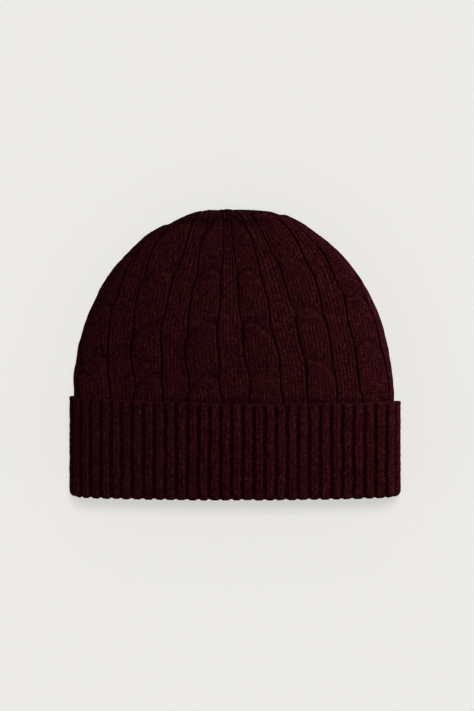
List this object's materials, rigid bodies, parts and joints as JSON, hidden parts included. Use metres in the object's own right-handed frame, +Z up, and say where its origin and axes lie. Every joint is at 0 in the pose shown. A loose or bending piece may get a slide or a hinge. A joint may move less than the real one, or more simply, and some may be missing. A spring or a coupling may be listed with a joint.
{
  "type": "cable-knit beanie with a turned-up ribbed cuff",
  "caption": "Knitted winter hat lying flat: a hollow dome of rope cables and plain panels, gathered at the top, with a wide ribbed cuff turned up outside.",
  "frame": {"origin": "middle of the hat's outline, on the surface that its back lies on", "axes": "+X across the hat to the right of its front, +Y from the bottom fold of the cuff to the top of the crown, +Z up, out of the front"},
  "size_m": [0.2392, 0.2094, 0.024],
  "materials": {
    "cable_knit": "heathered wool-blend yarn, soft and matt, in cables and plain stitches",
    "rib_knit": "the same heathered yarn in two-and-one ribbing"
  },
  "bodies": {
    "root": {"crown": "cable_knit", "cuff": "rib_knit"}
  },
  "joints": []
}
